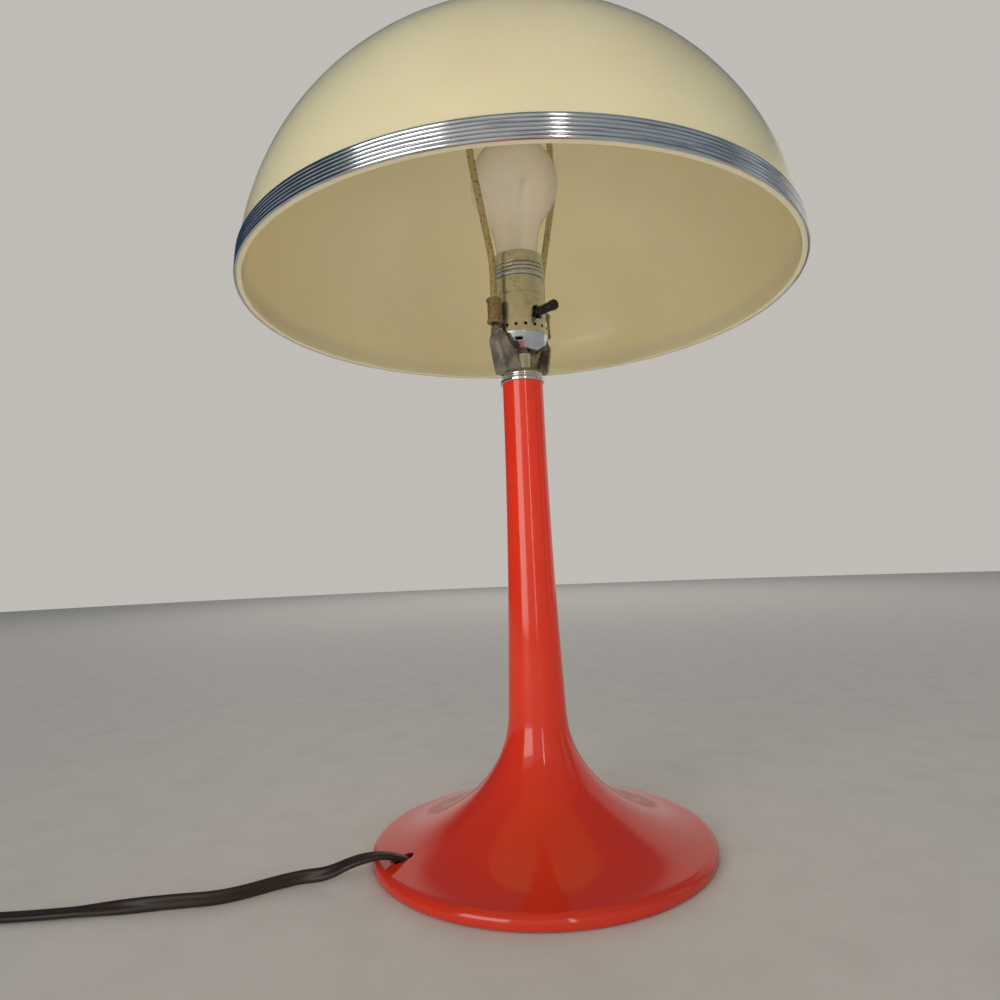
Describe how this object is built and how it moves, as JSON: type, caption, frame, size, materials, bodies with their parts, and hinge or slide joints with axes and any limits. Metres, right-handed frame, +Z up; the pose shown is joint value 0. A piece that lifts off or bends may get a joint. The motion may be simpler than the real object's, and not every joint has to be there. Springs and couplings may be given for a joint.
{
  "type": "mushroom table lamp",
  "caption": "Table lamp with a red trumpet-shaped base and stem, a cream dome shade edged with a reeded bright trim, a wire harp over a frosted bulb, a turn switch and a trailing flat cord.",
  "frame": {"origin": "centre of the round foot on the table plane", "axes": "+Z up along the stem; -Y towards the camera of the picture, +X to its right"},
  "size_m": [0.5699, 0.3949, 0.5372],
  "materials": {
    "red_enamel": "gloss",
    "weight_iron": "rough as cast",
    "felt": "felt",
    "zinc_steel": "zinc plated",
    "chrome": "polished plate",
    "dark_steel": "dull, aged",
    "aged_brass": "aged, pitted",
    "nickel_shell": "dull nickel plate",
    "bright_brass": "plain",
    "cream_acrylic": "glossy, lets light through",
    "black_moulding": "glossy",
    "black_block": "moulded",
    "liner_card": "plain",
    "frosted_glass": "frosted inside",
    "clear_glass": "clear",
    "black_glass": "glossy",
    "bulb_aluminium": "satin",
    "solder": "dull",
    "tungsten": "wire",
    "brown_lead": "semi-gloss",
    "plug_moulding": "semi-gloss"
  },
  "bodies": {
    "stand": {"trumpet_base": "red_enamel", "base_weight": "weight_iron", "felt_pad": "felt", "stem_pipe": "zinc_steel", "base_washer": "zinc_steel", "base_lock_washer": "zinc_steel", "base_hex_nut": "zinc_steel", "check_ring": "chrome", "harp_saddle": "dark_steel", "harp": "aged_brass", "socket_cap": "nickel_shell", "socket_shell": "nickel_shell", "shell_liner": "liner_card", "socket_block": "black_block", "terminal_screws": "bright_brass", "screw_shell": "bright_brass", "centre_contact": "bright_brass", "inner_cord": "brown_lead", "cord_free": "brown_lead", "cord_coil": "brown_lead", "plug_body": "plug_moulding", "plug_blades": "bright_brass"},
    "switch": {"turn_knob": "black_moulding", "switch_shaft": "zinc_steel", "switch_rotor": "black_block"},
    "left_sleeve": {"ferrule_left": "aged_brass"},
    "right_sleeve": {"ferrule_right": "aged_brass"},
    "shade": {"harp_stud": "aged_brass", "shade_dome": "cream_acrylic", "shade_band": "chrome", "shade_washer": "aged_brass"},
    "finial": {"finial": "aged_brass"},
    "bulb": {"bulb_globe": "frosted_glass", "bulb_cap": "bulb_aluminium", "bulb_insulator": "black_glass", "bulb_contact": "solder", "bulb_stem": "clear_glass", "filament": "tungsten"}
  },
  "joints": [
    {"name": "switch_turn", "type": "hinge", "parent": "stand", "child": "switch", "pos_m": [0, 0, 0.3382], "axis": [0.6691, -0.7431, 0], "continuous": true},
    {"name": "left_sleeve_lift", "type": "slide", "parent": "stand", "child": "left_sleeve", "axis": [0, 0, 1], "range_m": [0, 0.012]},
    {"name": "right_sleeve_lift", "type": "slide", "parent": "stand", "child": "right_sleeve", "axis": [0, 0, 1], "range_m": [0, 0.012]},
    {"name": "shade_turn", "type": "hinge", "parent": "stand", "child": "shade", "pos_m": [0, 0, 0.5], "axis": [0, 0, 1], "continuous": true},
    {"name": "finial_turn", "type": "hinge", "parent": "shade", "child": "finial", "pos_m": [0, 0, 0.52], "axis": [0, 0, 1], "continuous": true},
    {"name": "bulb_turn", "type": "hinge", "parent": "stand", "child": "bulb", "pos_m": [0, 0, 0.4], "axis": [0, 0, 1], "continuous": true}
  ]
}
